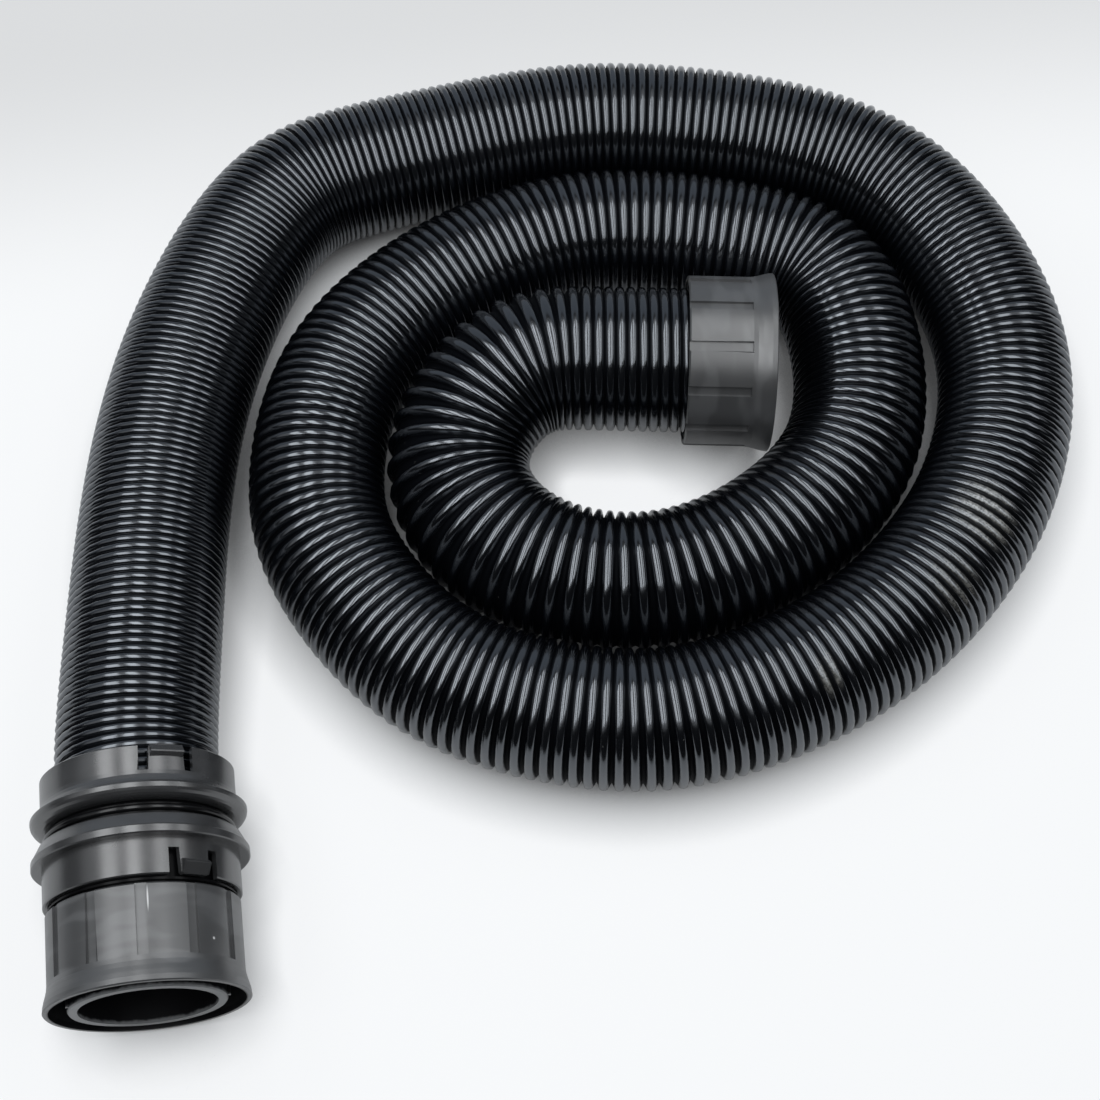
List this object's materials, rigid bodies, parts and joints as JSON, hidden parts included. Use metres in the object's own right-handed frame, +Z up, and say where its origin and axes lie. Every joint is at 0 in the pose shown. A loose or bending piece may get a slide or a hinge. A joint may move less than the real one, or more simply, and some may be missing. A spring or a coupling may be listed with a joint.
{
  "type": "vacuum cleaner stretch hose",
  "caption": "Ribbed stretch suction hose coiled in a flat spiral, with swivelling end cuffs and a machine coupling made of turning latch collars.",
  "frame": {"origin": "centre of the machine end's mouth, on the coupling's axis", "axes": "+Y along the machine coupling's axis from its mouth into the hose, +X right, +Z up; the hose and the wand cuff lie on the plane z = -0.028"},
  "size_m": [0.3089, 0.283, 0.056],
  "materials": {
    "hose_vinyl": "glossy",
    "cuff_plastic": "satin moulded",
    "collar_plastic": "satin moulded",
    "inner_plastic": "satin moulded",
    "seal_rubber": "glossy",
    "clip_plastic": "glossy black moulded",
    "spring_steel": "plain"
  },
  "bodies": {
    "hose_run": {"hose": "hose_vinyl", "machine_end_bush": "collar_plastic", "machine_retaining_ring": "spring_steel", "collar_carrier": "clip_plastic", "lower_clip": "clip_plastic", "upper_clip": "clip_plastic", "o_ring": "seal_rubber", "wand_end_bush": "collar_plastic", "wand_retaining_ring": "spring_steel"},
    "machine_end": {"machine_cuff": "cuff_plastic", "machine_spigot": "inner_plastic", "machine_seal": "seal_rubber"},
    "wand_end": {"wand_cuff": "cuff_plastic", "wand_spigot": "inner_plastic", "wand_seal": "seal_rubber"},
    "collar_low": {"lower_collar": "collar_plastic"},
    "collar_high": {"upper_collar": "collar_plastic"},
    "tongue_low_right": {"lower_tongue_right": "collar_plastic"},
    "tongue_low_left": {"lower_tongue_left": "collar_plastic"},
    "tongue_high_right": {"upper_tongue_right": "collar_plastic"},
    "tongue_high_left": {"upper_tongue_left": "collar_plastic"}
  },
  "joints": [
    {"name": "machine_cuff_swivel", "type": "hinge", "parent": "hose_run", "child": "machine_end", "pos_m": [0, 0, 0], "axis": [0, 1, 0], "continuous": true},
    {"name": "wand_cuff_swivel", "type": "hinge", "parent": "hose_run", "child": "wand_end", "pos_m": [0.18971, 0.16355, 0.0015], "axis": [0.9864, -0.1644, 0], "continuous": true},
    {"name": "lower_collar_swivel", "type": "hinge", "parent": "hose_run", "child": "collar_low", "pos_m": [0, 0.034, 0], "axis": [0, 1, 0], "continuous": true},
    {"name": "upper_collar_swivel", "type": "hinge", "parent": "hose_run", "child": "collar_high", "pos_m": [0, 0.052, 0], "axis": [0, 1, 0], "continuous": true},
    {"name": "lower_tongue_right_flex", "type": "hinge", "parent": "collar_low", "child": "tongue_low_right", "pos_m": [0.01529, 0.0335, 0.01758], "axis": [0.7547, 0, -0.6561], "range_deg": [0, 8], "stiffness_Nm_per_rad": 0.4},
    {"name": "lower_tongue_left_flex", "type": "hinge", "parent": "collar_low", "child": "tongue_low_left", "pos_m": [-0.01529, 0.0335, -0.01758], "axis": [-0.7547, 0, 0.6561], "range_deg": [0, 8], "stiffness_Nm_per_rad": 0.4},
    {"name": "upper_tongue_right_flex", "type": "hinge", "parent": "collar_high", "child": "tongue_high_right", "pos_m": [0.01058, 0.054, 0.02076], "axis": [-0.891, 0, 0.454], "range_deg": [0, 8], "stiffness_Nm_per_rad": 0.4},
    {"name": "upper_tongue_left_flex", "type": "hinge", "parent": "collar_high", "child": "tongue_high_left", "pos_m": [-0.01058, 0.054, -0.02076], "axis": [0.891, 0, -0.454], "range_deg": [0, 8], "stiffness_Nm_per_rad": 0.4}
  ]
}
